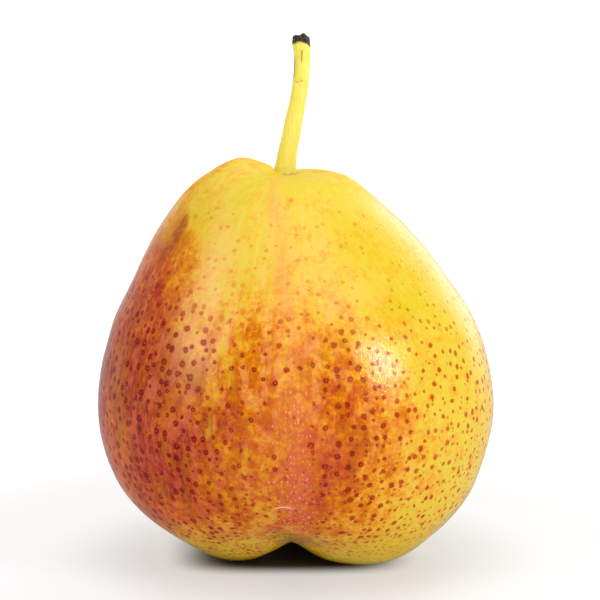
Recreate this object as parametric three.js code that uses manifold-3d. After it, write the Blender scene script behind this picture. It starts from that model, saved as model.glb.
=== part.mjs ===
// A pear as picked, standing on the lobes round its eye.
// Millimetres, +Z up. The seam of the fruit faces -Y, and the origin lies on the surface it stands on.

import * as THREE from 'three';
import { mergeVertices } from 'three/addons/utils/BufferGeometryUtils.js';
import Module from 'manifold-3d';

const wasm = await Module();
wasm.setup();

// Fruit: sections of its body from the rim of the stem's socket, over the crown and the belly,
// down to the foot ring and up into the basin of the eye. Each is radius, height and lean along X.
const fruitSections = [
  [2.25, 66.4, -1.55],
  [4.6, 66.5, -1.8],
  [11.0, 66.5, -3.0],
  [15.3, 64.2, -3.4],
  [21.4, 57.6, -2.2],
  [27.0, 49.2, -0.9],
  [32.0, 39.8, -0.2],
  [34.5, 27.0, 0.0],
  [32.1, 15.6, 0.1],
  [27.3, 7.6, 0.8],
  [19.6, 1.2, 2.2],
  [11.9, -0.8, 0.9],
  [9.6, 0.9, 0.5],
  [6.6, 4.3, -0.6],
  [3.4, 6.2, -1.55],
];
const fruitRings = 46;
const fruitSides = 64;
const bodyStart = [6, 14]; // radii between which the unevenness of the flesh sets in
const valleyStart = [4, 11]; // radii between which the valleys set in, out of the basin
const crownStart = [50, 62]; // heights between which the crown's swells set in

// Valleys between the foot lobes: bearing in degrees, depth, and how many degrees each
// reaches to its clockwise and its anticlockwise side.
const footValleys = [
  [-99, 5.4, 62, 71],
  [-20, 1.4, 33, 33],
  [48, 1.9, 34, 34],
  [122, 1.7, 34, 34],
  [188, 1.4, 32, 32],
];
const valleyRound = 2; // degrees over which a valley's bottom is rounded
const valleyFade = 9; // height over which the valleys fade
const footTilt = 0.3; // the back lobes are this much shallower

const ribs = { size: 0.22, turn: 2.2, height: 12, fade: 20 };
const waves = { three: 0.16, threeTurn: 0.7, two: 0.12, twist: 14 };
const seam = { bearing: -91, spread: 13, depth: 0.3, footDepth: 1.0, footHeight: 4, footReach: 14 };
// The crown isn't level: one shoulder stands high beside the stem, the other is lower,
// and the back falls away.
const crownSwells = [
  { bearing: 180, spread: 60, height: 3.3, radius: 6.5, width: 5 },
  { bearing: 58, spread: 48, height: 0.65, radius: 7.5, width: 5.5 },
  { bearing: 105, spread: 60, height: -1.3, radius: 9, width: 8 },
];

const coreX = -1.55; // the core's axis, through the stem's socket and the eye
const gap = 0.3; // clearance round the stem's root and the eye's stalk

const stemBaseZ = 66.4;
const stemLength = 24.2;
const stemRootDepth = 6;
// Stem: half thickness and sideways lean at shares of its length above the crown.
const stemSections = [
  [0.0, 1.93, 0.0],
  [0.06, 1.8, 0.04],
  [0.18, 1.7, 0.27],
  [0.29, 1.64, 0.82],
  [0.41, 1.6, 1.37],
  [0.52, 1.48, 1.92],
  [0.63, 1.44, 2.37],
  [0.75, 1.38, 2.63],
  [0.86, 1.41, 2.7],
  [0.92, 1.54, 2.56],
  [0.96, 1.5, 2.5],
  [1.0, 1.34, 2.5],
];
const stemBackLean = 0.9; // the tip stands this far behind the root
const stemRings = 24;
const stemSides = 20;
const stemRootTaper = { radius: 0.8, depth: 0.7 }; // shares of the root's radius and depth
const stemCut = { radius: 0.55, rise: 0.25, middle: 0.1 }; // the cut end: its bevel and its centre

const eyeZ = 6.2; // top of the basin, where the eye's stalk goes in
const eyeRim = 0.2; // the stalk's socket opens this much above the basin's last section
const eyeStalk = { radius: 1.5, footRadius: 1.28, depth: 2.0, reach: 1.4, sides: 20 };
const sepal = {
  count: 5,
  firstTurn: 18, // degrees
  length: 4.6,
  width: 2.1,
  thickness: 0.7,
  tipWidth: 0.35,
  start: 0.7, // distance of its root from the core's axis
  drop: 1.0, // its root below the top of the basin
  taper: 1.4,
  curl: 1.7,
  curlPower: 2.2,
  cup: 0.25,
};
const sepalSteps = [7, 2, 1]; // along, across and through the blade
const stamen = {
  count: 9,
  ring: 0.8,
  innerRing: 0.6,
  length: 1.5,
  rootRadius: 0.32,
  tipRadius: 0.24,
  drop: 1.1,
  splay: 0.35, // radians, on the outer ring
  sides: 6,
};

const mergeWithin = 1e-4;
const degrees = THREE.MathUtils.degToRad;
const smooth = THREE.MathUtils.smoothstep;

// Signed angle in degrees from a bearing to an angle in radians.
function degreesFrom(bearing, angle) {
  const turn = THREE.MathUtils.radToDeg(angle) - bearing;
  return THREE.MathUtils.euclideanModulo(turn + 180, 360) - 180;
}

function bell(value, width) {
  return Math.exp(-((value / width) ** 2));
}

// Height added between the foot lobes, so that the fruit stands on the lobes alone.
function valleyLift(angle, height, radius) {
  let lift = footTilt * (1 + Math.sin(angle));
  for (const [bearing, depth, reachBefore, reachAfter] of footValleys) {
    const turn = degreesFrom(bearing, angle);
    const away = Math.hypot(turn, valleyRound) - valleyRound;
    const reach = turn < 0 ? reachBefore : reachAfter;
    lift += depth * Math.max(1 - away / reach, 0) ** 2;
  }
  return lift * bell(height, valleyFade) * smooth(radius, ...valleyStart);
}

// Outward unevenness of the flesh: five soft ribs above the foot, two wider waves, and the sunk seam.
function radiusChange(angle, height, radius) {
  const ribsHere = ribs.size * Math.cos(5 * angle + ribs.turn) * bell(height - ribs.height, ribs.fade);
  const threeSided = waves.three * Math.cos(3 * angle + waves.threeTurn);
  const twoSided = waves.two * Math.cos(2 * angle + height / waves.twist);
  const seamDepth = seam.depth + seam.footDepth * bell(height - seam.footHeight, seam.footReach);
  const sunk = seamDepth * bell(degreesFrom(seam.bearing, angle), seam.spread);
  return (ribsHere + threeSided + twoSided - sunk) * smooth(radius, ...bodyStart);
}

function crownLift(angle, height, radius) {
  let lift = 0;
  for (const swell of crownSwells) {
    const side = bell(degreesFrom(swell.bearing, angle), swell.spread);
    lift += swell.height * side * bell(radius - swell.radius, swell.width);
  }
  return lift * smooth(height, ...crownStart);
}

function makeFruit() {
  const body = new THREE.CatmullRomCurve3(
    fruitSections.map(([radius, height, lean]) => new THREE.Vector3(radius, height, lean)),
    false, 'catmullrom', 0.5,
  ).getSpacedPoints(fruitRings);
  const socketRadius = body[0].x;
  const socketFloor = stemBaseZ - stemRootDepth - gap;
  const eyeRadius = eyeStalk.radius + gap;
  const eyeRoof = eyeZ + eyeStalk.depth + gap;
  const sections = [
    new THREE.Vector3(0, socketFloor, coreX),
    new THREE.Vector3(socketRadius, socketFloor, coreX),
    ...body,
    new THREE.Vector3(eyeRadius, eyeZ + eyeRim, coreX),
    new THREE.Vector3(eyeRadius, eyeRoof, coreX),
    new THREE.Vector3(0, eyeRoof, coreX),
  ];
  // The lathe runs from the foot upwards, so that its faces point out.
  sections.reverse();
  const profile = sections.map((section) => new THREE.Vector2(section.x, section.y));
  const geometry = new THREE.LatheGeometry(profile, fruitSides);
  geometry.rotateX(Math.PI / 2);
  const places = geometry.attributes.position;
  for (let column = 0; column <= fruitSides; column++) {
    const angle = (column % fruitSides) * 2 * Math.PI / fruitSides;
    for (let row = 0; row < sections.length; row++) {
      const { x: radius, y: height, z: lean } = sections[row];
      let reach = radius;
      let up = height;
      if (body.includes(sections[row])) {
        reach += radiusChange(angle, height, radius);
        up += valleyLift(angle, height, radius) + crownLift(angle, height, radius);
      }
      const index = column * sections.length + row;
      places.setXYZ(index, lean + reach * Math.cos(angle), reach * Math.sin(angle), Math.max(up, 0));
    }
  }
  return closed(geometry);
}

// A lathe along the stem, then each ring is shifted sideways and backwards to bend it.
function makeStem() {
  const curve = new THREE.CatmullRomCurve3(
    stemSections.map(([share, radius, lean]) => new THREE.Vector3(radius, share * stemLength, lean)),
    false, 'catmullrom', 0.5,
  ).getPoints(stemRings);
  const rootRadius = stemSections[0][1];
  const tip = curve[curve.length - 1];
  const sections = [
    new THREE.Vector3(0, -stemRootDepth, 0),
    new THREE.Vector3(rootRadius * stemRootTaper.radius, -stemRootDepth, 0),
    new THREE.Vector3(rootRadius, -stemRootDepth * stemRootTaper.depth, 0),
    ...curve,
    new THREE.Vector3(tip.x * stemCut.radius, tip.y + stemCut.rise, tip.z),
    new THREE.Vector3(0, tip.y + stemCut.middle, tip.z),
  ];
  const profile = sections.map((section) => new THREE.Vector2(section.x, section.y));
  const geometry = new THREE.LatheGeometry(profile, stemSides);
  geometry.rotateX(Math.PI / 2);
  const places = geometry.attributes.position;
  for (let index = 0; index < places.count; index++) {
    const section = sections[index % sections.length];
    const share = Math.max(section.y, 0) / stemLength;
    places.setX(index, coreX + places.getX(index) + section.z);
    places.setY(index, places.getY(index) + stemBackLean * share * share);
    places.setZ(index, stemBaseZ + section.y);
  }
  return closed(geometry);
}

// One dried sepal: a pointed blade that leaves the stalk level and curls down towards its tip.
function makeSepal(turn) {
  const blade = new THREE.BoxGeometry(sepal.length, sepal.width, sepal.thickness, ...sepalSteps);
  blade.translate(sepal.start + sepal.length / 2, 0, 0);
  const places = blade.attributes.position;
  for (let index = 0; index < places.count; index++) {
    const share = (places.getX(index) - sepal.start) / sepal.length;
    const narrow = THREE.MathUtils.lerp(1, sepal.tipWidth / sepal.width, share ** sepal.taper);
    const side = places.getY(index) * narrow;
    const cup = sepal.cup * (side / sepal.width) ** 2;
    places.setY(index, side);
    places.setZ(index, places.getZ(index) - sepal.curl * share ** sepal.curlPower - cup);
  }
  blade.rotateZ(turn);
  blade.translate(coreX, 0, eyeZ - sepal.drop);
  return solid(blade);
}

function makeStamen(turn, ring) {
  const { rootRadius, tipRadius, length, sides } = stamen;
  const thread = new THREE.CylinderGeometry(rootRadius, tipRadius, length, sides);
  thread.rotateX(Math.PI / 2);
  thread.translate(0, 0, -length / 2);
  thread.rotateY(-stamen.splay * ring / stamen.ring);
  thread.translate(ring, 0, 0);
  thread.rotateZ(turn);
  thread.translate(coreX, 0, eyeZ - stamen.drop);
  return solid(thread);
}

// The dried eye of the blossom: a short stalk in the flesh, five sepals and a tuft of stamens.
function makeCalyx() {
  const { radius, footRadius, depth, reach, sides } = eyeStalk;
  const stalk = new THREE.CylinderGeometry(radius, footRadius, depth + reach, sides);
  stalk.rotateX(Math.PI / 2);
  stalk.translate(coreX, 0, eyeZ + (depth - reach) / 2);
  let eye = solid(stalk);
  for (let index = 0; index < sepal.count; index++) {
    eye = eye.add(makeSepal(degrees(sepal.firstTurn + index * 360 / sepal.count)));
  }
  for (let index = 0; index < stamen.count; index++) {
    const ring = index % 2 ? stamen.ring : stamen.innerRing;
    eye = eye.add(makeStamen(degrees(index * 360 / stamen.count), ring));
  }
  const { vertProperties, triVerts } = eye.getMesh();
  const geometry = new THREE.BufferGeometry();
  geometry.setAttribute('position', new THREE.BufferAttribute(vertProperties, 3));
  geometry.setIndex(new THREE.BufferAttribute(triVerts, 1));
  return geometry;
}

// Shared vertices merged, so that the surface is one closed skin.
function closed(geometry) {
  geometry.deleteAttribute('normal');
  geometry.deleteAttribute('uv');
  return mergeVertices(geometry, mergeWithin);
}

function solid(geometry) {
  const skin = closed(geometry);
  return new wasm.Manifold(new wasm.Mesh({
    numProp: 3,
    vertProperties: new Float32Array(skin.attributes.position.array),
    triVerts: new Uint32Array(skin.index.array),
  }));
}

function piece(name, geometry, look) {
  geometry.computeVertexNormals();
  const mesh = new THREE.Mesh(geometry, new THREE.MeshStandardMaterial({ metalness: 0, ...look }));
  mesh.name = name;
  return mesh;
}

const pear = new THREE.Group();
pear.add(
  piece('fruit', makeFruit(), { color: 0xdc9140, roughness: 0.38 }),
  piece('stem', makeStem(), { color: 0xe6cf4a, roughness: 0.55 }),
  piece('calyx', makeCalyx(), { color: 0x4a3522, roughness: 0.85 }),
);

export default pear;
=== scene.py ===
import math
import bpy
import numpy as np
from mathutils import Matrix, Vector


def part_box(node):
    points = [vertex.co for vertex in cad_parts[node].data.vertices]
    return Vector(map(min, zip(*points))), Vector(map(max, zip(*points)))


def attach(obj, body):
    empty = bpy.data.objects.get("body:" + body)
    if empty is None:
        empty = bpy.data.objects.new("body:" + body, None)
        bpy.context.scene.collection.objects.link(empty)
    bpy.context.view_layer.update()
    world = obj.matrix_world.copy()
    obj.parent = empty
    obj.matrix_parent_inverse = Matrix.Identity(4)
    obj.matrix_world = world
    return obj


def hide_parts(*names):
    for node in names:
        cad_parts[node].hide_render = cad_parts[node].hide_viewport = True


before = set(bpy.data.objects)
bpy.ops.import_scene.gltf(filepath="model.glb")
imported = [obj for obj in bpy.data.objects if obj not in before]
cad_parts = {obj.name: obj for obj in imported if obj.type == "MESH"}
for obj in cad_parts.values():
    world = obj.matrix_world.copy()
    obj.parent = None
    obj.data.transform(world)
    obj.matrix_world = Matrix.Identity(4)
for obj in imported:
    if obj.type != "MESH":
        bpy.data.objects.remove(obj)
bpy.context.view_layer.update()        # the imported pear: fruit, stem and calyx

scene = bpy.context.scene
scene.view_settings.view_transform = "Standard"
scene.view_settings.look = "None"

# The camera stands a little above the pear and far off, as with a long lens.
camera = {
    "elevation": math.radians(10),
    "distance": 0.520,        # from the middle of the pear
    "middle": 0.034,          # height of that middle
    "span": 0.10464,          # what the picture takes in at the middle, across
    "aim": (0.00087, 0.0, 0.04472),
    "sensor": 36.0,
}


def makeCamera(c):
    forward = np.array([0.0, math.cos(c["elevation"]), -math.sin(c["elevation"])])
    back = c["distance"] + (c["middle"] - c["aim"][2]) * math.sin(c["elevation"])
    data = bpy.data.cameras.new("camera")
    data.sensor_width = c["sensor"]
    data.lens = c["sensor"] * c["distance"] / c["span"]
    data.clip_start, data.clip_end = 0.01, 20.0
    eye = bpy.data.objects.new("camera", data)
    eye.location = np.array(c["aim"]) - forward * back
    eye.rotation_euler = (math.pi / 2 - c["elevation"], 0.0, 0.0)
    scene.collection.objects.link(eye)
    scene.camera = eye


makeCamera(camera)
print("camera stands")


# Curves and noise that the pieces share. Lengths are in millimetres until a mesh is made.
def smoothStep(value, start, end):
    t = np.clip((value - start) / (end - start), 0, 1)
    return t * t * (3 - 2 * t)


def bell(value, width):
    return np.exp(-((value / width) ** 2))


def turnFrom(bearing, angle):
    return (angle - bearing + 180) % 360 - 180


# Even points on a smooth curve through the given ones.
def throughPoints(points, count, steps=24):
    p = np.array(points, float)
    p = np.vstack([2 * p[0] - p[1], p, 2 * p[-1] - p[-2]])
    t = np.linspace(0, 1, steps, endpoint=False)[:, None]
    parts = []
    for a, b, c, d in zip(p, p[1:], p[2:], p[3:]):
        square = 2 * a - 5 * b + 4 * c - d
        cube = 3 * b - a - 3 * c + d
        parts.append(0.5 * (2 * b + (c - a) * t + square * t**2 + cube * t**3))
    fine = np.vstack(parts + [p[-2:-1]])
    along = np.r_[0, np.cumsum(np.linalg.norm(np.diff(fine, axis=0), axis=1))]
    even = np.linspace(0, along[-1], count)
    return np.stack([np.interp(even, along, fine[:, k]) for k in range(p.shape[1])], 1)


# Smooth noise between -1 and 1, the same on each run.
def softNoise(points, cell, seed):
    grid = points / cell + 31.7 * seed
    base = np.floor(grid).astype(np.int64)
    part = grid - base
    part = part * part * (3 - 2 * part)
    total = 0
    for corner in range(8):
        step = np.array([corner & 1, corner >> 1 & 1, corner >> 2 & 1])
        at = base + step
        mixed = at[..., 0] * 73856093 ^ at[..., 1] * 19349663 ^ at[..., 2] * 83492791 ^ seed * 50331653
        mixed = (mixed ^ mixed >> 13) * 1274126177 & 0x7FFFFFFF
        weight = np.where(step, part, 1 - part).prod(-1)
        total = total + weight * (mixed % 65536 / 32767.5 - 1)
    return total


# Outward normals of a grid of rings from the top down, closed round its columns.
def gridNormals(points):
    down = np.gradient(points, axis=0)
    around = np.roll(points, -1, 1) - np.roll(points, 1, 1)
    normal = np.cross(down, around)
    return normal / np.maximum(np.linalg.norm(normal, axis=-1, keepdims=True), 1e-9)


def ringFaces(rings, columns):
    i, j = np.meshgrid(np.arange(rings - 1), np.arange(columns), indexing="ij")
    k = (j + 1) % columns
    quads = np.stack([i * columns + j, (i + 1) * columns + j, (i + 1) * columns + k, i * columns + k], -1)
    return quads.reshape(-1, 4).tolist()


# Vertices and faces of a grid whose first and last rings close on a point.
def closedGrid(points):
    rings, columns = points.shape[:2]
    top, bottom = points[0].mean(0), points[-1].mean(0)
    vertices = np.vstack([points.reshape(-1, 3), top, bottom])
    faces = ringFaces(rings, columns)
    first, last = rings * columns, (rings - 1) * columns
    for j in range(columns):
        k = (j + 1) % columns
        faces.append([first, j, k])
        faces.append([last + j, first + 1, last + k])
    return vertices, faces


# A smooth mesh object. Each mask holds a value for every vertex, and its last one fills what is missing.
def makePiece(name, vertices, faces, unit, masks):
    mesh = bpy.data.meshes.new(name)
    mesh.from_pydata((np.asarray(vertices) * unit).tolist(), [], faces)
    mesh.polygons.foreach_set("use_smooth", [True] * len(mesh.polygons))
    for key, values in masks.items():
        flat = np.asarray(values, float).ravel()
        flat = np.append(flat, np.full(len(mesh.vertices) - len(flat), flat[-1]))
        mesh.attributes.new(key, "FLOAT", "POINT").data.foreach_set("value", flat)
    mesh.update()
    piece = bpy.data.objects.new(name, mesh)
    scene.collection.objects.link(piece)
    return piece


# Shader building blocks.
def put(tree, kind, inputs=None, **settings):
    node = tree.nodes.new(kind)
    for key, value in settings.items():
        setattr(node, key, value)
    for key, value in (inputs or {}).items():
        if isinstance(value, bpy.types.NodeSocket):
            tree.links.new(value, node.inputs[key])
        else:
            node.inputs[key].default_value = value
    return node


def calc(tree, operation, a, b=0.0, clamp=False):
    return put(tree, "ShaderNodeMath", {0: a, 1: b}, operation=operation, use_clamp=clamp).outputs[0]


def vectorCalc(tree, operation, a, b=(0.0, 0.0, 0.0)):
    return put(tree, "ShaderNodeVectorMath", {0: a, 1: b}, operation=operation).outputs["Vector"]


def scaled(tree, vector, factor):
    node = put(tree, "ShaderNodeVectorMath", {0: vector, "Scale": factor}, operation="SCALE")
    return node.outputs["Vector"]


# Where a point is on its piece, in millimetres.
def placeOf(tree):
    return scaled(tree, put(tree, "ShaderNodeTexCoord").outputs["Object"], 1000.0)


def spread(tree, value, low, high, toLow=0.0, toHigh=1.0, smooth=True):
    kind = "SMOOTHSTEP" if smooth else "LINEAR"
    inputs = {"Value": value, "From Min": low, "From Max": high, "To Min": toLow, "To Max": toHigh}
    return put(tree, "ShaderNodeMapRange", inputs, interpolation_type=kind).outputs[0]


def blendColor(tree, amount, under, over, kind="MIX"):
    node = put(tree, "ShaderNodeMix", {0: amount, 6: under, 7: over}, data_type="RGBA", blend_type=kind)
    return node.outputs[2]


def mask(tree, name):
    return put(tree, "ShaderNodeAttribute", attribute_name=name).outputs["Fac"]


def color(red, green, blue):
    shares = (red / 255, green / 255, blue / 255)
    linear = [v / 12.92 if v <= 0.04045 else ((v + 0.055) / 1.055) ** 2.4 for v in shares]
    return (*linear, 1.0)


def newMaterial(name):
    material = bpy.data.materials.new(name)
    material.use_nodes = True
    return material, material.node_tree, material.node_tree.nodes["Principled BSDF"]


def newGroup(name, inputs, outputs):
    group = bpy.data.node_groups.new(name, "ShaderNodeTree")
    for key, kind, value in inputs:
        socket = group.interface.new_socket(key, in_out="INPUT", socket_type="NodeSocket" + kind)
        if value is not None:
            socket.default_value = value
    for key, kind in outputs:
        group.interface.new_socket(key, in_out="OUTPUT", socket_type="NodeSocket" + kind)
    return group, group.nodes.new("NodeGroupInput"), group.nodes.new("NodeGroupOutput")


def useGroup(tree, group, inputs):
    return put(tree, "ShaderNodeGroup", inputs, node_tree=group)


# One layer of round spots on a skin that is laid flat as Around and Along, in millimetres.
# Squeeze is how much shorter the real way round is at this height. Amount sets how many there are.
spotRules = {
    "wobble": 0.45,           # how far a spot's rim strays from round
    "wobbleScale": 1.5,
    "scatter": 0.86,          # how far the spots are from standing in rows
    "fade": 0.16,             # over how much of Amount a spot grows in
    "sizes": (0.6, 1.3),      # from the smallest to the largest, as shares of Size
    "cores": (0.5, 1.4),      # the same for Core
}


def makeSpotGroup(s):
    group, given, out = newGroup(
        "spotLayer",
        [("Around", "Float", 0.0), ("Along", "Float", 0.0), ("Squeeze", "Float", 1.0),
         ("Spacing", "Float", 2.0), ("Size", "Float", 0.6), ("Core", "Float", 0.18),
         ("Amount", "Float", 1.0), ("Softness", "Float", 0.6), ("Shift", "Float", 0.0),
         ("Edge", "Float", 100.0)],
        [("Halo", "Float"), ("Core", "Float")])
    g = given.outputs

    def mul(a, b):
        return calc(group, "MULTIPLY", a, b)

    place = {0: g["Around"], 1: g["Along"], 2: g["Shift"]}
    place = put(group, "ShaderNodeCombineXYZ", place).outputs[0]
    noise = {"Vector": place, "Scale": s["wobbleScale"], "Detail": 2.0}
    noise = put(group, "ShaderNodeTexNoise", noise, noise_dimensions="3D").outputs["Color"]
    wobble = scaled(group, vectorCalc(group, "SUBTRACT", noise, (0.5, 0.5, 0.5)), s["wobble"])
    flat = vectorCalc(group, "MULTIPLY", vectorCalc(group, "ADD", place, wobble), (1.0, 1.0, 0.0))
    cells = scaled(group, flat, calc(group, "DIVIDE", 1.0, g["Spacing"]))
    moved = vectorCalc(group, "ADD", cells, g["Shift"])
    halos, cores = [], []
    for feature in ("F1", "F2"):
        cell = {"Vector": moved, "Scale": 1.0, "Randomness": s["scatter"]}
        cell = put(group, "ShaderNodeTexVoronoi", cell, voronoi_dimensions="2D", feature=feature).outputs
        chance = put(group, "ShaderNodeSeparateColor", {0: cell["Color"]}).outputs
        away = vectorCalc(group, "SUBTRACT", moved, cell["Position"])
        away = put(group, "ShaderNodeSeparateXYZ", {0: away}).outputs
        side = mul(mul(away[0], g["Spacing"]), g["Squeeze"])
        up = mul(away[1], g["Spacing"])
        away = calc(group, "SQRT", calc(group, "ADD", mul(side, side), mul(up, up)))
        there = spread(group, calc(group, "SUBTRACT", g["Amount"], chance[0]), 0.0, s["fade"])
        centre = put(group, "ShaderNodeSeparateXYZ", {0: cell["Position"]}).outputs[0]
        centre = mul(calc(group, "SUBTRACT", centre, g["Shift"]), g["Spacing"])
        there = mul(there, calc(group, "LESS_THAN", calc(group, "ABSOLUTE", centre), g["Edge"]))
        size = mul(g["Size"], spread(group, chance[1], 0.0, 1.0, *s["sizes"], smooth=False))
        size = calc(group, "MAXIMUM", mul(size, there), 0.001)
        inner = mul(size, calc(group, "SUBTRACT", 1.0, g["Softness"]))
        halos.append(mul(spread(group, away, inner, size, 1.0, 0.0), there))
        coreSize = mul(g["Core"], spread(group, chance[2], 0.0, 1.0, *s["cores"], smooth=False))
        core = spread(group, away, mul(coreSize, 0.4), coreSize, 1.0, 0.0)
        cores.append(mul(core, there))
    group.links.new(calc(group, "MAXIMUM", halos[0], halos[1]), out.inputs["Halo"])
    group.links.new(calc(group, "MAXIMUM", cores[0], cores[1]), out.inputs["Core"])
    return group


# Fine lines along a fruit or a stem. Place is measured from its axis, in millimetres.
def makeStreakGroup():
    group, given, out = newGroup(
        "longStreaks",
        [("Place", "Vector", None), ("Count", "Float", 30.0), ("Length", "Float", 12.0),
         ("Contrast", "Float", 0.5)],
        [("Streak", "Float")])
    g = given.outputs
    flat = vectorCalc(group, "MULTIPLY", g["Place"], (1.0, 1.0, 0.0))
    flat = scaled(group, vectorCalc(group, "NORMALIZE", flat), g["Count"])
    height = put(group, "ShaderNodeSeparateXYZ", {0: g["Place"]}).outputs[2]
    lifted = put(group, "ShaderNodeCombineXYZ", {2: calc(group, "DIVIDE", height, g["Length"])}).outputs[0]
    place = vectorCalc(group, "ADD", flat, lifted)
    noise = put(group, "ShaderNodeTexNoise", {"Vector": place, "Scale": 1.0, "Detail": 3.0, "Roughness": 0.6})
    half = calc(group, "MULTIPLY", g["Contrast"], 0.5)
    low, high = calc(group, "SUBTRACT", 0.5, half), calc(group, "ADD", 0.5, half)
    group.links.new(spread(group, noise.outputs["Fac"], low, high), out.inputs["Streak"])
    return group


# Soft patches and fine grain of one size, both between 0 and 1.
def makeMottleGroup():
    group, given, out = newGroup(
        "mottle",
        [("Place", "Vector", None), ("Patch", "Float", 6.0), ("Grain", "Float", 0.5)],
        [("Patches", "Float"), ("Grain", "Float")])
    g = given.outputs
    patchScale = calc(group, "DIVIDE", 1.0, g["Patch"])
    grainScale = calc(group, "DIVIDE", 1.0, g["Grain"])
    patches = put(group, "ShaderNodeTexNoise", {"Vector": g["Place"], "Scale": patchScale, "Detail": 3.0})
    grain = put(group, "ShaderNodeTexNoise", {"Vector": g["Place"], "Scale": grainScale, "Detail": 2.0})
    group.links.new(spread(group, patches.outputs["Fac"], 0.3, 0.7), out.inputs["Patches"])
    group.links.new(spread(group, grain.outputs["Fac"], 0.3, 0.7), out.inputs["Grain"])
    return group


spotLayer = makeSpotGroup(spotRules)
longStreaks = makeStreakGroup()
mottle = makeMottleGroup()
print("shader groups built")

# The fruit. Sections are radius, height and lean of its body, from the stem down into the basin.
fruit = {
    "sections": [
        (2.6, 66.45, -1.6), (4.6, 66.5, -1.8), (11.0, 66.5, -3.0), (15.3, 64.2, -3.4), (21.4, 57.6, -2.2),
        (27.0, 49.2, -0.9), (32.0, 39.8, -0.2), (34.5, 27.0, 0.0), (32.1, 15.6, 0.1), (27.3, 7.6, 0.8),
        (19.6, 1.2, 2.2), (11.9, -0.8, 0.9), (9.6, 0.9, 0.5), (6.6, 4.3, -0.6), (3.4, 6.2, -1.55)],
    "funnel": [(0.7, 64.3, -1.55), (1.45, 65.0, -1.55), (1.85, 65.9, -1.55), (2.15, 66.35, -1.55)],
    "eye": [(1.9, 6.5, -1.55), (0.8, 6.7, -1.55)],
    "rings": 226,
    "columns": 380,
    "belly": 34.5,            # radius where the fruit is widest
    "bellyHeight": 27.0,
    # bearing, depth, and reach to each side in degrees
    "footValleys": [
        (-99, 5.4, 62, 71), (-20, 1.4, 33, 33), (48, 1.9, 34, 34), (122, 1.7, 34, 34), (188, 1.4, 32, 32)],
    "footTilt": 0.3,
    # bearing, spread, height, radius, width
    "crownSwells": [(180, 60, 3.3, 6.5, 5), (58, 48, 0.65, 7.5, 5.5), (105, 60, -1.3, 9, 8)],
    "seam": {"bearing": -91, "spread": 13, "depth": 0.3, "footDepth": 1.0, "footHeight": 4, "footReach": 14},
    "ribs": 0.22,             # five, round the foot
    "waves": (0.16, 0.12),    # three and two, all round
    "dents": 0.11,
    "pores": 0.010,
    "basinFolds": 0.16,
    "collar": 0.50,           # the pucker round the stem, in front and to the right
    "backCollar": 0.1,
    "stemGroove": 0.12,
    "crownFolds": 0.04,
}


def fruitBody(f):
    body = throughPoints(f["sections"], f["rings"] - len(f["funnel"]) - len(f["eye"]))
    rows = np.vstack([f["funnel"], body, f["eye"]])
    angle = np.linspace(-180, 180, f["columns"], endpoint=False)
    shape = (len(rows), f["columns"])
    radius, height, lean = (np.broadcast_to(rows[:, k:k + 1], shape) for k in range(3))
    turn = np.broadcast_to(angle, shape)
    rad = np.radians(turn)
    lift = f["footTilt"] * (1 + np.sin(rad))
    for bearing, depth, before, after in f["footValleys"]:
        away = turnFrom(bearing, turn)
        reach = np.where(away < 0, before, after)
        lift = lift + depth * np.maximum(1 - (np.hypot(away, 2) - 2) / reach, 0) ** 2
    up = height + lift * bell(height, 9) * smoothStep(radius, 4, 11)
    swell = 0
    for bearing, width, tall, at, wide in f["crownSwells"]:
        swell = swell + tall * bell(turnFrom(bearing, turn), width) * bell(radius - at, wide)
    up = up + swell * smoothStep(height, 50, 62) * smoothStep(radius, 0.5, 2.2)
    s = f["seam"]
    sunk = s["depth"] + s["footDepth"] * bell(height - s["footHeight"], s["footReach"])
    sunk = sunk * bell(turnFrom(s["bearing"], turn), s["spread"])
    ribs = f["ribs"] * np.cos(5 * rad + 2.2) * bell(height - 12, 20)
    waves = f["waves"][0] * np.cos(3 * rad + 0.7) + f["waves"][1] * np.cos(2 * rad + height / 14)
    reach = radius + (ribs + waves - sunk) * smoothStep(radius, 6, 14)
    points = np.stack([lean + reach * np.cos(rad), reach * np.sin(rad), up], -1)
    return points, turn, height, radius


# What the plain body lacks: dents, folds in the basin and the pucker round the stem.
def fruitRelief(f, points, turn, height, radius):
    normal = gridNormals(points)
    bare = smoothStep(radius, 2.0, 6.0)
    rise = f["dents"] * softNoise(points, 9.0, 3) * bare
    rise = rise + 0.5 * f["dents"] * softNoise(points, 3.6, 5) * bare
    rise = rise + f["pores"] * softNoise(points, 1.1, 7) * bare
    low = smoothStep(height, 12, 4) * smoothStep(radius, 12.5, 8) * smoothStep(radius, 1.0, 3.5)
    folds = np.cos(np.radians(turn) * 11 + 1.3 * softNoise(points, 4.0, 11))
    rise = rise + f["basinFolds"] * folds * low
    crown = smoothStep(height, 60, 64)
    rise = rise + f["collar"] * bell(radius - 2.6, 1.9) * bell(turnFrom(-30, turn), 80) * crown
    rise = rise + f["backCollar"] * bell(radius - 2.8, 1.3) * bell(turnFrom(180, turn), 50) * crown
    rise = rise - f["stemGroove"] * bell(radius - 2.15, 0.3) * crown
    rise = rise + f["crownFolds"] * np.cos(np.radians(turn) * 7 + 0.8) * bell(radius - 4.0, 1.6) * crown
    moved = points + normal * rise[..., None]
    moved[..., 2] = np.maximum(moved[..., 2], 0.0)
    return moved


points, turn, height, radius = fruitBody(fruit)
points = fruitRelief(fruit, points, turn, height, radius)
fruitLow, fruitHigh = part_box("fruit")
unit = (fruitHigh.z - fruitLow.z) / points[..., 2].max()       # metres in one millimetre of the sections
step = np.linalg.norm(np.diff(np.stack([radius[:, 0], height[:, 0]], 1), axis=0), axis=1)
flank = np.broadcast_to(np.r_[0, np.cumsum(step)][:, None], turn.shape)
print("fruit shaped, one millimetre is", round(unit, 7))

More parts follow.
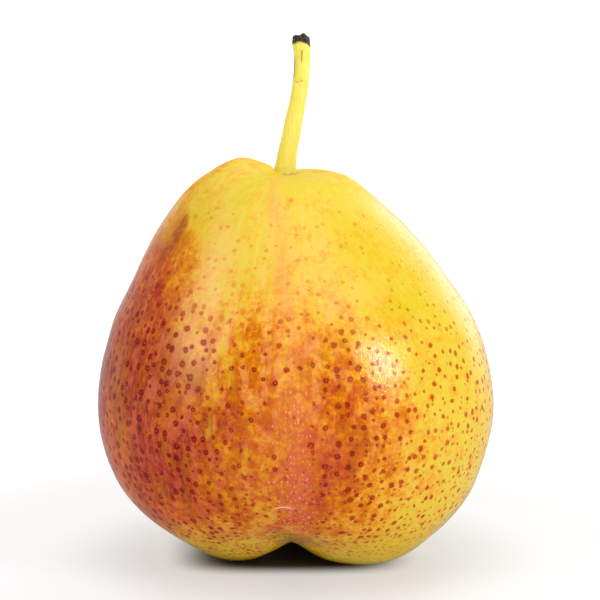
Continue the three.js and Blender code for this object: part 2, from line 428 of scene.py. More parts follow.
# Where the sun has reddened the skin, and where it stays yellow. Each patch is its bearing from the
# seam (left is minus) and its height, its half widths in degrees and millimetres, its slant in
# degrees for each millimetre up, and its strength.
blushPatches = [
    (-58, 16, 16, 30, 0.0, 0.71),
    (-85, 29, 16, 34, 0.0, 0.80),
    (-125, 30, 30, 26, 0.0, 0.60),
    (-37, 21, 14, 12, 0.0, 0.57),
    (-46, 42, 32, 14, 0.0, 1.07),
    (-37, 44, 37, 14, 0.0, -0.54),
    (-63, 55.5, 11, 9, -0.5, 0.47),
    (-4, 15, 32, 12, 0.0, 0.61),
    (14, 31, 11, 12, 0.0, 0.54),
    (30, 29, 10, 10, 0.0, 0.28),
    (-9, 36.5, 15, 14, 0.0, 0.52),
    (-24, 29, 9, 5, 0.0, 0.32),
    (-10, 18, 7, 6, 0.0, -0.19),
    (23, 45, 26, 4, 0.0, 0.11),
    (-20, 39, 2.5, 7, 0.0, -0.14),
    (-27, 33, 2.2, 4, 0.3, -0.10),
    (-18, 35.5, 6, 5, 0.0, 0.18),
    (-19, 26, 6, 4, 0.0, -0.12),
    (-28, 31, 5, 4, 0.0, -0.10),
    (-51, 26, 7, 6, 0.0, 0.12),
    (8, 24, 10, 11, 0.0, 0.14),
    (-9, 27, 5, 5, 0.0, -0.10),
    (3, 42, 15, 6, 0.0, 0.09),
    (-54, 58.5, 6, 3.5, -1.0, 0.5),
    (-31, 41, 8, 6, 0.0, 0.13),
]
greenPatches = [
    (-19, 66, 8, 4, 0.0, 0.9),
    (-60, 61, 26, 5, 0.0, 0.6),
    (42, 58, 14, 9, 0.3, 0.45),
    (24, 67.5, 60, 3.2, 0.0, 0.9),
    (40, 47, 14, 2.2, 1.6, 0.7),
    (24, 43, 10, 1.8, 0.8, 0.4),
    (62, 46, 18, 15, 0.0, 0.50),
    (-62, 30, 5, 12, 0.0, 0.2),
    (140, 55, 60, 18, 0.0, 0.5),
]
# Painted sheen: pale peach patches on the upper skin that stand in for soft reflected light.
paintedSheenPatches = [
    (-33, 50, 9, 12, 0.2, 0.46),
    (-35, 41, 8, 7, 0.0, 0.34),
    (-26, 58, 10, 6, 0.0, 0.20),
    (14, 52, 14, 8, 0.0, 0.30),
]
fleckPatches = [
    (-17, 42.5, 1.7, 3.0, 0.2, 1.0),
    (-19, 38, 1.5, 2.6, -0.5, 1.0),
    (-23, 33.7, 1.7, 2.4, 0.4, 1.0),
    (-23, 29.2, 1.5, 2.0, 0.0, 0.8),
    (-13, 24.6, 0.8, 2.6, 0.0, 1.0),
    (-31, 45, 1.2, 2.5, 0.3, 0.7),
    (-47, 33, 1.0, 3.0, 0.0, 0.5),
    (-11, 14, 1.6, 1.4, 0.0, 0.6),
]
bruisePatches = [
    (-54, 60.3, 4.0, 1.5, -1.2, 0.9),
    (-56, 57.6, 4.0, 1.6, -0.8, 1.0),
    (-58, 55.2, 3.6, 1.5, 0.0, 0.8),
    (-47, 53.6, 2.0, 0.9, 2.0, 0.9),
    (-61, 53.4, 1.8, 1.6, 0.0, 0.7),
    (-66, 49, 2.5, 4.0, -0.4, 0.5),
    (-62, 43, 7, 9, 0.0, 0.5),
    (-44, 45, 1.3, 3.0, 0.0, 0.35),
    (-40, 28, 2.0, 1.6, 0.0, 0.35),
]


def sumPatches(patches, side, tall):
    total = np.zeros_like(side)
    for bearing, at, wide, high, slant, strength in patches:
        away = turnFrom(bearing + slant * (tall - at), side)
        total += strength * bell(away, wide) * bell(tall - at, high)
    return total


# Shares, sizes and strengths that the skin's material reads, one value at each point.
def paintFruit(points, turn, height, radius):
    side = turnFrom(-90, turn)
    tall = points[..., 2]
    patchy = softNoise(points, 11.0, 21)
    ragged = softNoise(points, 4.5, 23)
    torn = softNoise(points, 1.7, 25)
    wavy = side + 5 * patchy + 2.0 * ragged
    blush = sumPatches(blushPatches, wavy, tall + 1.5 * patchy) + 0.02 + 0.06 * ragged + 0.04 * torn
    blush = blush - 0.35 * smoothStep(tall + ragged, 9.5, 3.5) * smoothStep(blush, 0.2, 0.6)
    strip = bell(side - 1.5 + 1.2 * ragged, 3.6) * smoothStep(tall, 8, 15) * smoothStep(tall, 38, 20)
    strip = 0.74 * strip + 0.30 * bell(side + 2.5 + 2 * ragged, 12) * bell(tall - 19, 11)
    line = bell(side + 0.8, 4.5) * smoothStep(tall, 20, 40) * smoothStep(radius, 2.5, 5)
    streaks = bell(side + 4, 34) * smoothStep(tall, 20, 44) + 0.25 * bell(side + 50, 26) * bell(tall - 38, 20)
    streaks = np.clip(streaks, 0, 1) * smoothStep(radius, 2.5, 6)

    back = smoothStep(side, -115, -172)     # the left half blends into the right one behind
    upper = smoothStep(tall + 3 * patchy - 0.13 * np.maximum(-side - 20, 0) * (1 - back), 39, 54)
    seam = bell(side + 0.5, 9) * smoothStep(tall, 48, 36) * smoothStep(tall, 2, 6)
    dots = (0.92 - 0.50 * upper) * smoothStep(tall, 1.5, 4.5) * (1 - 0.92 * seam)
    dots = dots * smoothStep(tall, 69.5, 58) * smoothStep(radius, 8, 15)
    right = np.maximum(smoothStep(side + 0.3 * (30 - tall), 24, 50), back)
    foot = smoothStep(tall, 10, 5)
    left = smoothStep(side, -14, -34) * smoothStep(tall, 56, 44) * (1 - back)
    dotSize = 0.95 + 0.12 * left - 0.28 * bell(side + 14, 12) * smoothStep(tall, 50, 42)
    dotSize = dotSize - 0.15 * right - 0.34 * foot - 0.2 * upper
    # spots are smaller where the key light's highlight falls, painted as the highlight washing them out
    dotSize = np.clip(dotSize - 0.25 * bell(side - 33, 9) * bell(tall - 40, 7), 0.42, 1.1)
    dotStrength = (0.94 + 0.06 * left) * (1 - 0.42 * upper) * (1 - 0.2 * foot) * (1 + 0.2 * patchy)
    brown = smoothStep(side + 0.35 * ragged, -14, 22) + foot + smoothStep(np.abs(side), 150, 170)
    cores = 0.95 - 0.45 * np.maximum(smoothStep(side, 2, 18), back) - 0.35 * left - 0.4 * upper
    low = smoothStep(tall, 34, 20)
    notLeft = np.maximum(smoothStep(side, -40, -10), back)
    small = 0.38 * right * (0.4 + 0.25 * low) + 0.9 * foot + 0.42 * low * notLeft
    small = small + 0.25 * smoothStep(tall, 46, 36)
    small = np.clip(small, 0, 1) * smoothStep(tall, 58, 44)
    pale = bell(side - 0.5, 4.0) + 0.4 * bell(side + 3, 11)
    pale = pale * smoothStep(tall, 48, 16) * smoothStep(tall, 4, 10)
    notch = bell(side + 4, 13) * bell(tall - 7.0, 2.8) * smoothStep(radius, 10, 17)
    basin = smoothStep(radius, 14, 8) * smoothStep(height, 14, 6)
    russet = 0.8 * smoothStep(notch + 0.25 * torn + 0.15 * ragged, 0.3, 0.8) + basin * (0.6 + 0.4 * ragged)
    fleck = smoothStep(sumPatches(fleckPatches, side + 1.4 * torn, tall + torn) + 0.3 * torn, 0.3, 0.85)
    bruise = smoothStep(sumPatches(bruisePatches, side + 1.5 * torn, tall + 0.4 * torn), 0.2, 0.9)
    rose = smoothStep(side, 10, -40) * (bell(side + 36, 15) + smoothStep(tall, 34, 18)) * (1 - back)
    shares = {
        "dotStrength": dotStrength, "pale": pale, "russet": russet, "rose": rose,
        "green": sumPatches(greenPatches, wavy, tall), "paintedSheen": sumPatches(paintedSheenPatches, wavy, tall),
    }
    return {
        "flank": flank, "blush": blush, "strip": strip, "line": line, "streaks": streaks, "upper": upper,
        "dots": dots, "dotSize": dotSize, "brown": np.clip(brown, 0, 1), "cores": np.clip(cores, 0.08, 1),
        "small": small, "fleck": fleck, "bruise": bruise, "foot": smoothStep(tall, 11, 3),
        "matt": smoothStep(tall, 60, 66), **{key: np.clip(share, 0, 1) for key, share in shares.items()},
    }


vertices, faces = closedGrid(points)
fruitSkin = makePiece("fruitSkin", vertices, faces, unit, paintFruit(points, turn, height, radius))
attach(fruitSkin, "root")
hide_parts("fruit")
print("fruit skin made with", len(faces), "faces")

skin = {
    "ground": [(0.0, (225, 196, 60)), (0.25, (232, 168, 46)), (0.45, (226, 137, 12)), (0.62, (210, 106, 6)),
               (0.78, (198, 80, 20)), (1.0, (164, 42, 27))],
    "green": (212, 190, 22),
    # the foot's yellow-green, made lighter as painted bounce light from the floor
    "foot": (222, 186, 24),
    # the colour of the painted sheen
    "paintedSheen": (244, 190, 118),
    "strip": (222, 98, 74),
    "line": (240, 150, 92),
    "rose": (212, 78, 58),
    "ochre": (184, 112, 4),
    "gold": (224, 170, 8),
    "peach": (240, 186, 112),
    "fleck": (238, 188, 44),
    "bruise": (158, 66, 26),
    "russet": (146, 124, 76),
    "dotRed": (186, 72, 96),      # the spots tint the skin under them
    "dotBrown": (188, 84, 84),
    "dotYellow": (222, 118, 76),
    "dotUpper": (236, 180, 128),
    "dotCore": (230, 140, 98),
    "paleDot": (238, 172, 96),
    "scar": (246, 220, 196),
    "scarPlace": (-3.3, 15.3, 1.75, 0.42),     # bearing from the seam, height, half length and rise
    "roughness": 0.14,
    "specular": 0.155,
    "subsurface": 0.06,
    "subsurfaceReach": (0.0022, 0.0012, 0.0005),
    "relief": 0.00006,
}


# A short curved scar, by its distance from a shallow arch on the skin laid flat.
def scarMask(tree, s, around, along):
    bearing, tall, half, rise = s["scarPlace"]
    k = np.argmin(np.abs(points[:, 0, 2] - tall) + 1e3 * (height[:, 0] > fruit["bellyHeight"]))
    u = calc(tree, "DIVIDE", calc(tree, "SUBTRACT", around, math.radians(bearing) * fruit["belly"]), half)
    arch = calc(tree, "MULTIPLY", calc(tree, "MULTIPLY", u, u), rise)
    v = calc(tree, "SUBTRACT", calc(tree, "SUBTRACT", along, float(flank[k, 0])), arch)
    v = calc(tree, "ABSOLUTE", v)
    ends = spread(tree, calc(tree, "ABSOLUTE", u), 0.7, 1.05, 1.0, 0.0)
    return calc(tree, "MULTIPLY", spread(tree, v, 0.04, 0.29, 1.0, 0.0), ends)


def fruitMaterial(s):
    material, tree, shader = newMaterial("pearSkin")

    def add(a, b):
        return calc(tree, "ADD", a, b)

    def mul(a, b):
        return calc(tree, "MULTIPLY", a, b)

    def centred(value, size):
        return mul(calc(tree, "SUBTRACT", value, 0.5), size)

    def between(value, low, high):
        return spread(tree, value, 0.0, 1.0, low, high)

    def streaksOf(count, length, contrast):
        given = {"Place": place, "Count": count, "Length": length, "Contrast": contrast}
        return useGroup(tree, longStreaks, given).outputs[0]

    place = placeOf(tree)
    x, y, _ = put(tree, "ShaderNodeSeparateXYZ", {0: place}).outputs
    around = mul(calc(tree, "ARCTAN2", x, mul(y, -1.0)), fruit["belly"])
    along = mask(tree, "flank")
    reach = calc(tree, "SQRT", add(mul(x, x), mul(y, y)))
    squeeze = calc(tree, "DIVIDE", reach, fruit["belly"])
    blotch = useGroup(tree, mottle, {"Place": place, "Patch": 4.0, "Grain": 0.75}).outputs
    fine = useGroup(tree, mottle, {"Place": place, "Patch": 1.5, "Grain": 0.30}).outputs
    streak = streaksOf(20.0, 12.0, 0.45)
    hair = streaksOf(105.0, 8.0, 0.5)
    veil = streaksOf(15.0, 5.0, 0.4)

    # ground colour from how much sun each place had
    streaks = mask(tree, "streaks")
    blush = mask(tree, "blush")
    lines = add(centred(streak, 0.16), centred(hair, 0.10))
    blush = add(blush, mul(lines, add(streaks, 0.15)))
    blush = add(blush, centred(blotch["Patches"], 0.26))
    blush = add(blush, centred(fine["Patches"], 0.24))
    blush = add(blush, centred(blotch["Grain"], 0.12))
    blush = calc(tree, "ADD", blush, centred(fine["Grain"], 0.15), clamp=True)
    ramp = put(tree, "ShaderNodeValToRGB", {0: blush})
    while len(ramp.color_ramp.elements) < len(s["ground"]):
        ramp.color_ramp.elements.new(0.5)
    for element, (at, shade) in zip(ramp.color_ramp.elements, s["ground"]):
        element.position = at
        element.color = color(*shade)
    base = ramp.outputs[0]

    def cover(base, amount, shade):
        return blendColor(tree, amount, base, color(*shade))

    peach = add(mul(streaks, between(mask(tree, "upper"), 0.30, 0.18)), 0.08)
    base = cover(base, mul(spread(tree, veil, 0.45, 0.9), peach), s["peach"])
    sunned = spread(tree, blush, 0.35, 0.8)
    deep = blendColor(tree, spread(tree, blush, 0.2, 0.5), color(*s["gold"]), color(*s["ochre"]))
    base = blendColor(tree, mul(spread(tree, veil, 0.5, 0.1), peach), base, deep)
    rosy = mul(mul(sunned, spread(tree, veil, 0.5, 1.0)), add(mul(mask(tree, "rose"), 0.50), 0.10))
    base = cover(base, rosy, s["rose"])
    base = cover(base, mul(mul(sunned, spread(tree, veil, 0.5, 0.0)), 0.42), s["ochre"])
    base = cover(base, mul(mask(tree, "green"), between(fine["Patches"], 0.35, 0.85)), s["green"])
    # yellow-green foot, partly painted bounce light
    base = cover(base, mul(mask(tree, "foot"), 0.6), s["foot"])
    # painted sheen, pale peach, on the upper skin
    base = cover(base, mul(mask(tree, "paintedSheen"), 0.7), s["paintedSheen"])
    base = cover(base, mul(mask(tree, "line"), mul(hair, 0.7)), s["line"])
    base = cover(base, mul(mask(tree, "strip"), between(fine["Patches"], 0.4, 1.0)), s["strip"])
    base = cover(base, mul(mask(tree, "fleck"), between(hair, 0.2, 0.62)), s["fleck"])
    base = cover(base, mul(mask(tree, "bruise"), between(blotch["Grain"], 0.5, 0.9)), s["bruise"])
    russet = mul(mask(tree, "russet"), between(fine["Patches"], 0.45, 1.0))
    base = cover(base, russet, s["russet"])

    # spots: large ones with a pale middle, small brown ones, and tiny pale ones along the seam
    seamEdge = math.pi * fruit["belly"] - 1.0      # no spot is cut by the seam of the map behind
    shared = {"Around": around, "Along": along, "Squeeze": squeeze, "Edge": seamEdge}

    def spots(**own):
        return useGroup(tree, spotLayer, {**shared, **own}).outputs

    big = spots(Spacing=2.05, Size=mul(mask(tree, "dotSize"), 0.65), Core=0.13, Softness=0.52,
                Amount=mask(tree, "dots"), Shift=3.7)
    little = spots(Spacing=1.5, Size=0.36, Core=0.07, Softness=0.65,
                   Amount=mul(mask(tree, "small"), 0.75), Shift=9.1)
    tiny = spots(Along=mul(along, 0.65), Spacing=0.70, Size=0.22, Core=0.05, Softness=0.9,
                 Amount=mul(mask(tree, "pale"), 0.9), Shift=5.3)
    strength = mask(tree, "dotStrength")
    dotShade = blendColor(tree, mask(tree, "brown"), color(*s["dotRed"]), color(*s["dotBrown"]))
    dotShade = blendColor(tree, spread(tree, blush, 0.05, 0.4, 0.85, 0.0), dotShade, color(*s["dotYellow"]))
    dotShade = blendColor(tree, mask(tree, "upper"), dotShade, color(*s["dotUpper"]))
    base = blendColor(tree, mul(big["Halo"], strength), base, dotShade, "MULTIPLY")
    base = blendColor(tree, mul(mul(little["Halo"], strength), 0.75), base, dotShade, "MULTIPLY")
    base = cover(base, mul(mul(big["Core"], mask(tree, "cores")), 0.8), s["dotCore"])
    base = cover(base, mul(tiny["Halo"], between(fine["Patches"], 0.45, 0.95)), s["paleDot"])
    scar = scarMask(tree, s, around, along)
    base = cover(base, mul(scar, 0.62), s["scar"])
    tree.links.new(base, shader.inputs["Base Color"])

    rough = add(mul(fine["Grain"], 0.04), add(mul(russet, 0.25), mul(mask(tree, "matt"), 0.45)))
    rough = add(rough, add(mul(scar, 0.2), s["roughness"]))
    tree.links.new(rough, shader.inputs["Roughness"])
    tall = add(mul(fine["Grain"], 0.18), mul(blotch["Grain"], 0.30))
    tall = add(tall, add(mul(big["Core"], 0.7), mul(tiny["Halo"], 0.35)))
    tall = add(tall, add(mul(hair, mul(streaks, 0.15)), mul(russet, mul(fine["Grain"], 0.8))))
    tall = calc(tree, "SUBTRACT", tall, mul(scar, 0.8))
    bump = put(tree, "ShaderNodeBump", {"Height": tall, "Distance": s["relief"], "Strength": 1.0})
    tree.links.new(bump.outputs[0], shader.inputs["Normal"])
    shader.inputs["Subsurface Weight"].default_value = s["subsurface"]
    shader.inputs["Subsurface Radius"].default_value = s["subsurfaceReach"]
    shader.inputs["Subsurface Scale"].default_value = 1.0
    shader.inputs["Specular IOR Level"].default_value = s["specular"]
    return material


fruitSkin.data.materials.append(fruitMaterial(skin))
print("fruit painted")

# The stem. Sections are shares of its length, half thickness and sideways lean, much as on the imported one.
stemPiece = {
    "sections": [
        (-0.10, 1.7, -0.1), (-0.03, 2.0, -0.24), (0.015, 2.15, -0.40), (0.05, 1.90, -0.20),
        (0.18, 1.68, 0.28), (0.29, 1.62, 0.86), (0.41, 1.56, 1.40), (0.52, 1.44, 1.97),
        (0.63, 1.41, 2.44), (0.75, 1.38, 2.73), (0.86, 1.41, 2.82), (0.92, 1.53, 2.68),
        (0.96, 1.52, 2.6), (0.99, 1.40, 2.6), (1.0, 1.15, 2.6)],
    "baseHeight": 66.4,
    "length": 24.2,
    "coreX": -1.55,
    "backLean": 0.9,
    "rings": 260,
    "columns": 60,
    "cutStart": 0.935,        # the torn end, from this share of the length up
    "ridges": (0.035, 0.022),
    "grain": (0.03, 0.02),
    "tear": (0.14, 0.10),
    "splitDepth": 0.10,
}


def stemBody(s):
    rows = throughPoints(s["sections"], s["rings"])
    rows = rows[::-1]                                   # from the tip down
    shape = (len(rows), s["columns"])
    share, thick, lean = (np.broadcast_to(rows[:, k:k + 1], shape) for k in range(3))
    turn = np.broadcast_to(np.linspace(-180, 180, s["columns"], endpoint=False), shape)
    rad = np.radians(turn)
    coarse, fine = s["ridges"]
    ridges = coarse * np.cos(3 * rad + 0.5 + share * 2) + fine * np.cos(7 * rad - share * 4)
    up = share * s["length"]
    # the grain's noise is stretched along the stem
    rough = np.stack([thick * np.cos(rad) * 1.3, thick * np.sin(rad) * 1.3, up * 0.35], -1)
    coarse, fine = s["grain"]
    ridges = ridges + coarse * softNoise(rough, 0.9, 31) + fine * softNoise(rough, 0.35, 33)
    cut = smoothStep(share, s["cutStart"], 0.97)
    torn = np.stack([np.cos(rad) * 2, np.sin(rad) * 2, share * 40], -1)
    coarse, fine = s["tear"]
    ridges = ridges + cut * (coarse * softNoise(torn, 0.8, 37) + fine * softNoise(torn, 0.35, 39))
    split = bell(turnFrom(-95, turn) - 3 * np.sin(up * 3), 5.0)
    split = split * smoothStep(share, 0.80, 0.83) * smoothStep(share, 0.91, 0.88)
    reach = thick + ridges - s["splitDepth"] * split
    tip = smoothStep(share, 0.985, 1.0)
    jag = 0.42 * bell(turnFrom(-66, turn), 34) - 0.3 * bell(turnFrom(0, turn), 40)
    up = up + tip * (jag + 0.2 * softNoise(torn, 0.6, 41))
    bend = np.maximum(share, 0) ** 2 * s["backLean"]
    across = s["coreX"] + lean + reach * np.cos(rad)
    points = np.stack([across, bend + reach * np.sin(rad), s["baseHeight"] + up], -1)
    edge = s["cutStart"] + 0.012 * softNoise(torn, 1.1, 43) - 0.03 * bell(turnFrom(-20, turn), 25)
    edge = edge + 0.012 * bell(turnFrom(-95, turn), 35)
    side = bell(turnFrom(-168, turn), 20) * smoothStep(share, 0.68, 0.74) * smoothStep(share, 0.87, 0.80)
    specks = bell(turnFrom(-118, turn), 10) * bell(share - 0.675, 0.007)
    specks = specks + bell(turnFrom(-85, turn), 9) * bell(share - 0.683, 0.006)
    specks = specks + 0.9 * bell(turnFrom(-155, turn), 10) * bell(share - 0.565, 0.008)
    # dark olive at the stem's foot: its own greenish tint, and a dark line in the crease at the fruit that is
    # partly painted shade
    root = smoothStep(share + 0.008 * softNoise(torn, 0.5, 45), 0.034, 0.016)
    return points, {
        "cut": smoothStep(share, edge, edge + 0.012),
        "split": np.clip(split + 0.85 * side + 0.7 * specks, 0, 1),
        # painted shade down the front right of the stem, darker towards its foot
        "shade": bell(turnFrom(-60, turn), 40) * smoothStep(share, 0.5, 0.1),
        "root": np.clip(root + 0.3 * smoothStep(share, 0.12, 0.02), 0, 1),
    }


points, masks = stemBody(stemPiece)
# the torn tip closes with a narrower ring that lies a little lower
cap = points[0] * np.array([0.45, 0.45, 1.0]) + points[0].mean(0) * np.array([0.55, 0.55, 0.0])
cap[:, 2] -= 0.12
points = np.concatenate([cap[None], points])
masks = {key: np.concatenate([values[:1], values]) for key, values in masks.items()}
vertices, faces = closedGrid(points)
stemDress = makePiece("stemBark", vertices, faces, unit, masks)
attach(stemDress, "root")
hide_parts("stem")
print("stem made with", len(faces), "faces")

bark = {
    "young": (254, 238, 98),
    # older bark tone, also used for the painted shade
    "agedAndShaded": (232, 198, 66),
    "green": (214, 206, 70),
    "cut": (30, 18, 17),
    "cutPale": (124, 100, 78),
    "split": (96, 52, 10),
    "root": (150, 134, 24),
    "roughness": 0.5,
}


def stemMaterial(s):
    material, tree, shader = newMaterial("pearStem")
    place = placeOf(tree)
    fine = useGroup(tree, mottle, {"Place": place, "Patch": 1.3, "Grain": 0.2}).outputs
    fromAxis = vectorCalc(tree, "ADD", place, (-stemPiece["coreX"] - 1.3, -0.3, 0.0))
    fibre = {"Place": fromAxis, "Count": 5.0, "Length": 3.0, "Contrast": 0.5}
    fibre = useGroup(tree, longStreaks, fibre).outputs[0]
    base = blendColor(tree, calc(tree, "MULTIPLY", fibre, 0.35), color(*s["young"]), color(*s["agedAndShaded"]))
    base = blendColor(tree, calc(tree, "MULTIPLY", fine["Patches"], 0.25), base, color(*s["green"]))
    # painted shade on the front right of the stem's lower half
    base = blendColor(tree, calc(tree, "MULTIPLY", mask(tree, "shade"), 0.35), base, color(*s["agedAndShaded"]))
    base = blendColor(tree, calc(tree, "MULTIPLY", mask(tree, "split"), 0.85), base, color(*s["split"]))
    # olive foot of the stem, its crease line partly painted shade
    base = blendColor(tree, calc(tree, "MULTIPLY", mask(tree, "root"), 0.7), base, color(*s["root"]))
    torn = blendColor(tree, spread(tree, fine["Grain"], 0.6, 1.0), color(*s["cut"]), color(*s["cutPale"]))
    base = blendColor(tree, mask(tree, "cut"), base, torn)
    tree.links.new(base, shader.inputs["Base Color"])
    rough = calc(tree, "ADD", s["roughness"], calc(tree, "MULTIPLY", mask(tree, "cut"), 0.35))
    tree.links.new(rough, shader.inputs["Roughness"])
    tall = calc(tree, "ADD", calc(tree, "MULTIPLY", fibre, 0.5), calc(tree, "MULTIPLY", fine["Grain"], 0.5))
    bump = put(tree, "ShaderNodeBump", {"Height": tall, "Distance": 0.0001, "Strength": 0.8})
    tree.links.new(bump.outputs[0], shader.inputs["Normal"])
    return material


stemDress.data.materials.append(stemMaterial(bark))

# The dried eye: a stalk, five curled sepals and a tuft of stamens, all under the fruit.
eye = {
    "coreX": -1.55,
    "top": 6.2,
    "stalk": [(0.5, 8.1), (1.3, 7.9), (1.5, 6.9), (1.42, 5.8), (1.25, 5.0), (0.95, 4.7), (0.5, 4.85)],
    "sepals": 5,
    "firstTurn": 18,
    "length": 4.6,
    "start": 0.7,
    "width": 1.05,
    "thickness": 0.30,
    "drop": 1.0,
    "curl": 1.7,
    "stamens": 13,
    "seed": 5,
}


# Rings of a thin round thread along a path, from its start to its end.
def sweptTube(path, radii, sides):
    path = np.array(path, float)
    along = np.gradient(path, axis=0)
    along /= np.linalg.norm(along, axis=1, keepdims=True)
    across = np.cross(along, np.array([0.3, 0.9, 0.1]))
    across /= np.linalg.norm(across, axis=1, keepdims=True)
    other = np.cross(along, across)
    rad = np.linspace(0, 2 * math.pi, sides, endpoint=False)
    ring = np.cos(rad)[None, :, None] * across[:, None] + np.sin(rad)[None, :, None] * other[:, None]
    return path[:, None] + ring * np.array(radii)[:, None, None]


def sepalRings(e, turn, rng):
    share = np.linspace(0, 1, 22)
    wide = e["width"] * (1 - 0.82 * share**1.4) * (0.85 + 0.15 * smoothStep(share, 0, 0.2))
    reach = e["start"] + e["length"] * share
    drop = e["curl"] * share**2.2
    twist = rng.uniform(-0.35, 0.35)
    sway = rng.uniform(-0.5, 0.5)
    rad = np.linspace(0, 2 * math.pi, 20, endpoint=False)
    rings = []
    for t, w, r, d in zip(share, wide, reach, drop):
        across = np.cos(rad) * w
        fat = np.sin(rad) * e["thickness"] * (1 - 0.45 * t)
        fat = fat - 0.35 * (across / e["width"]) ** 2 + 0.07 * np.cos(across * 7 + t * 3) * (1 - t)
        tilt = twist * t
        sideways = across * math.cos(tilt) - fat * math.sin(tilt) + sway * t * t
        up = across * math.sin(tilt) + fat * math.cos(tilt)
        rings.append(np.stack([np.full_like(rad, r), sideways, e["top"] - e["drop"] - d + up], -1))
    rings = np.array(rings)
    c, s = math.cos(turn), math.sin(turn)
    x, y = rings[..., 0] * c - rings[..., 1] * s, rings[..., 0] * s + rings[..., 1] * c
    return np.stack([x + e["coreX"], y, rings[..., 2]], -1)


def eyeParts(e):
    rng = np.random.default_rng(e["seed"])
    parts = []
    rows = throughPoints(e["stalk"], 26)
    rad = np.linspace(-math.pi, math.pi, 40, endpoint=False)
    wide, tall = rows[:, :1], rows[:, 1:]
    stalk = np.stack([e["coreX"] + wide * np.cos(rad), wide * np.sin(rad), tall + 0 * rad], -1)
    parts.append((stalk + 0.06 * softNoise(stalk, 0.5, 51)[..., None], 0.2))
    for k in range(e["sepals"]):
        turn = math.radians(e["firstTurn"] + k * 360 / e["sepals"]) + rng.uniform(-0.06, 0.06)
        rings = sepalRings(e, turn, rng)
        parts.append((rings + 0.05 * softNoise(rings, 0.6, 53 + k)[..., None], 0.6))
    for k in range(e["stamens"]):
        turn = k * 2 * math.pi / e["stamens"] + rng.uniform(-0.15, 0.15)
        root = rng.uniform(0.45, 0.85)
        lean = rng.uniform(0.1, 0.6)
        length = rng.uniform(1.0, 1.9)
        t = np.linspace(0, 1, 12)
        out = root + lean * t**1.6
        swirl = turn + rng.uniform(-0.5, 0.5) * t
        down = e["top"] - 1.1 - length * t
        path = np.stack([e["coreX"] + out * np.cos(swirl), out * np.sin(swirl), down], 1)
        radii = 0.09 + 0.09 * smoothStep(t, 0.72, 0.85) * smoothStep(t, 1.02, 0.9)
        parts.append((sweptTube(path, radii, 10), 1.0))
    return parts


allVertices, allFaces, tones = [], [], []
for rings, tone in eyeParts(eye):
    vertices, faces = closedGrid(rings)
    start = sum(len(v) for v in allVertices)
    allFaces += [[index + start for index in face] for face in faces]
    allVertices.append(vertices)
    tones.append(np.full(len(vertices), tone))
eyeDress = makePiece("driedEye", np.vstack(allVertices), allFaces, unit, {"tone": np.concatenate(tones)})
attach(eyeDress, "root")
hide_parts("calyx")

dried = {"dark": (52, 36, 24), "mid": (96, 70, 46), "light": (142, 110, 74), "roughness": 0.8}


def eyeMaterial(s):
    material, tree, shader = newMaterial("driedEye")
    place = placeOf(tree)
    fine = useGroup(tree, mottle, {"Place": place, "Patch": 1.0, "Grain": 0.15}).outputs
    base = blendColor(tree, fine["Patches"], color(*s["dark"]), color(*s["mid"]))
    pale = calc(tree, "MULTIPLY", mask(tree, "tone"), fine["Grain"])
    base = blendColor(tree, pale, base, color(*s["light"]))
    tree.links.new(base, shader.inputs["Base Color"])
    rough = calc(tree, "ADD", s["roughness"], calc(tree, "MULTIPLY", fine["Grain"], 0.1))
    tree.links.new(rough, shader.inputs["Roughness"])
    bump = put(tree, "ShaderNodeBump", {"Height": fine["Grain"], "Distance": 0.0001, "Strength": 0.8})
    tree.links.new(bump.outputs[0], shader.inputs["Normal"])
    return material


eyeDress.data.materials.append(eyeMaterial(dried))
print("stem and eye painted")

# A pale floor and soft light: white all round behind the pear, dim in front, and six soft boxes.
studio = {
    "floorRadius": 4.0,
    "floor": (132, 131, 130),
    "glow": 0.53,             # how bright the floor's own glow is just outside the painted shadow under the pear
    # from, to and how much more
    "glowSteps": [(0.025, 0.046, 0.115), (0.055, 0.095, 0.125), (0.10, 0.60, 0.3)],
    # how far the painted shadow under the pear lies to the left, and one over its half sizes
    "paintedShadow": (0.0008, 79.0, 100.0),
    "paintedShadowEdge": (1.05, 1.80),
    "behind": 0.5,
    "front": 0.22,
    "boxes": [
        # name, azimuth, elevation, distance, width, height, power
        ("keyRight", 56.5, 25, 0.70, 0.17, 0.24, 2.75),
        ("shineRight", 56.5, 25, 0.69, 0.17, 0.24, 2.1),     # only adds to the highlight
        ("fillLeft", -60, 34, 0.80, 0.28, 0.60, 2.2),
        ("rimRight", 148, 22, 0.90, 0.50, 0.80, 2.0),
        ("overhead", 10, 78, 1.10, 0.90, 0.90, 4.2),
        ("topBack", 180, 60, 1.00, 0.80, 0.80, 3.3),
    ],
}


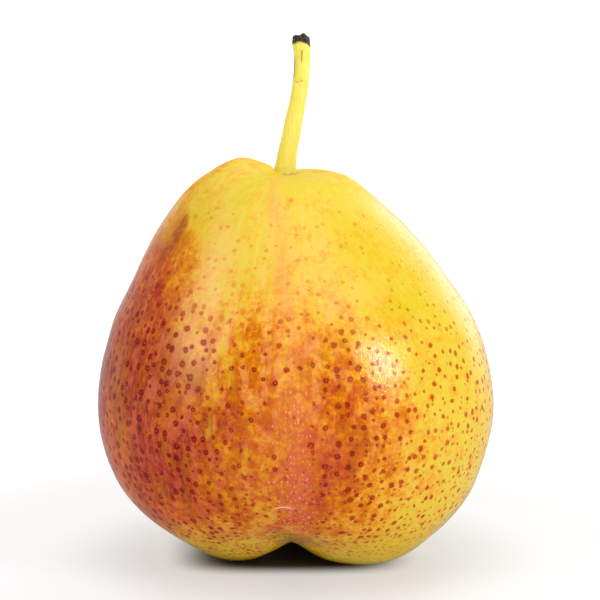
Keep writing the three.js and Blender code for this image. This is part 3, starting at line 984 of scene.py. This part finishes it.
def makeFloor(s):
    count = 96
    rad = np.linspace(0, 2 * math.pi, count, endpoint=False)
    rings = [r * s["floorRadius"] for r in (0.02, 0.05, 0.1, 0.25, 0.5, 1.0)]
    vertices = [(0.0, 0.0, 0.0)] + [(r * math.cos(a), r * math.sin(a), 0.0) for r in rings for a in rad]
    faces = [(0, 1 + j, 1 + (j + 1) % count) for j in range(count)]
    for i in range(len(rings) - 1):
        inner, outer = 1 + i * count, 1 + (i + 1) * count
        for j in range(count):
            k = (j + 1) % count
            faces.append((inner + j, outer + j, outer + k, inner + k))
    mesh = bpy.data.meshes.new("floor")
    mesh.from_pydata(vertices, [], faces)
    floor = bpy.data.objects.new("floor", mesh)
    scene.collection.objects.link(floor)
    material, tree, shader = newMaterial("paleFloor")
    shader.inputs["Base Color"].default_value = color(*s["floor"])
    shader.inputs["Roughness"].default_value = 0.5
    shader.inputs["Specular IOR Level"].default_value = 0.3
    place = put(tree, "ShaderNodeTexCoord").outputs["Object"]
    far = put(tree, "ShaderNodeVectorMath", {0: place}, operation="LENGTH").outputs["Value"]
    x, y, _ = put(tree, "ShaderNodeSeparateXYZ", {0: place}).outputs
    # the floor glows, and its glow fades out under the pear as a painted shadow
    shift, perWide, perDeep = s["paintedShadow"]
    wide = calc(tree, "ABSOLUTE", calc(tree, "MULTIPLY", calc(tree, "ADD", x, shift), perWide))
    deep = calc(tree, "ABSOLUTE", calc(tree, "MULTIPLY", y, perDeep))
    under = calc(tree, "ADD", calc(tree, "POWER", wide, 4.0), calc(tree, "POWER", deep, 4.0))
    under = calc(tree, "POWER", under, 0.25)
    glow = spread(tree, under, *s["paintedShadowEdge"], 0.0, s["glow"])
    for start, end, more in s["glowSteps"]:
        glow = calc(tree, "ADD", glow, spread(tree, far, start, end, 0.0, more))
    mirrored = put(tree, "ShaderNodeLightPath").outputs["Is Glossy Ray"]
    glow = calc(tree, "MULTIPLY", glow, calc(tree, "SUBTRACT", 1.0, calc(tree, "MULTIPLY", mirrored, 0.7)))
    tree.links.new(glow, shader.inputs["Emission Strength"])
    shader.inputs["Emission Color"].default_value = (1.0, 1.0, 1.0, 1.0)
    mesh.materials.append(material)


def makeLights(s):
    for name, azimuth, elevation, distance, width, tall, power in s["boxes"]:
        data = bpy.data.lights.new(name, "AREA")
        data.shape, data.size, data.size_y, data.energy = "RECTANGLE", width, tall, power
        a, e = math.radians(azimuth), math.radians(elevation)
        toward = np.array([math.sin(a) * math.cos(e), -math.cos(a) * math.cos(e), math.sin(e)])
        lamp = bpy.data.objects.new(name, data)
        lamp.location = np.array([0.0, 0.0, 0.035]) + toward * distance
        lamp.rotation_euler = (math.pi / 2 - e, 0.0, a)
        lamp.visible_diffuse = not name.startswith("shine")
        scene.collection.objects.link(lamp)


def makeWorld(s):
    world = bpy.data.worlds.new("studio")
    scene.world = world
    world.use_nodes = True
    tree = world.node_tree
    tree.nodes.clear()
    way = put(tree, "ShaderNodeTexCoord").outputs["Generated"]
    back = put(tree, "ShaderNodeSeparateXYZ", {0: way}).outputs[1]
    level = spread(tree, back, 0.1, 0.95, s["front"], s["behind"])
    level = calc(tree, "ADD", level, spread(tree, back, 0.85, 1.0, 0.0, 1.0 - s["behind"]))
    seen = put(tree, "ShaderNodeLightPath").outputs["Is Camera Ray"]
    level = calc(tree, "MAXIMUM", level, seen)
    light = put(tree, "ShaderNodeBackground", {"Color": (1, 1, 1, 1), "Strength": level})
    out = put(tree, "ShaderNodeOutputWorld")
    tree.links.new(light.outputs[0], out.inputs[0])


makeFloor(studio)
makeLights(studio)
makeWorld(studio)
print("studio lit")
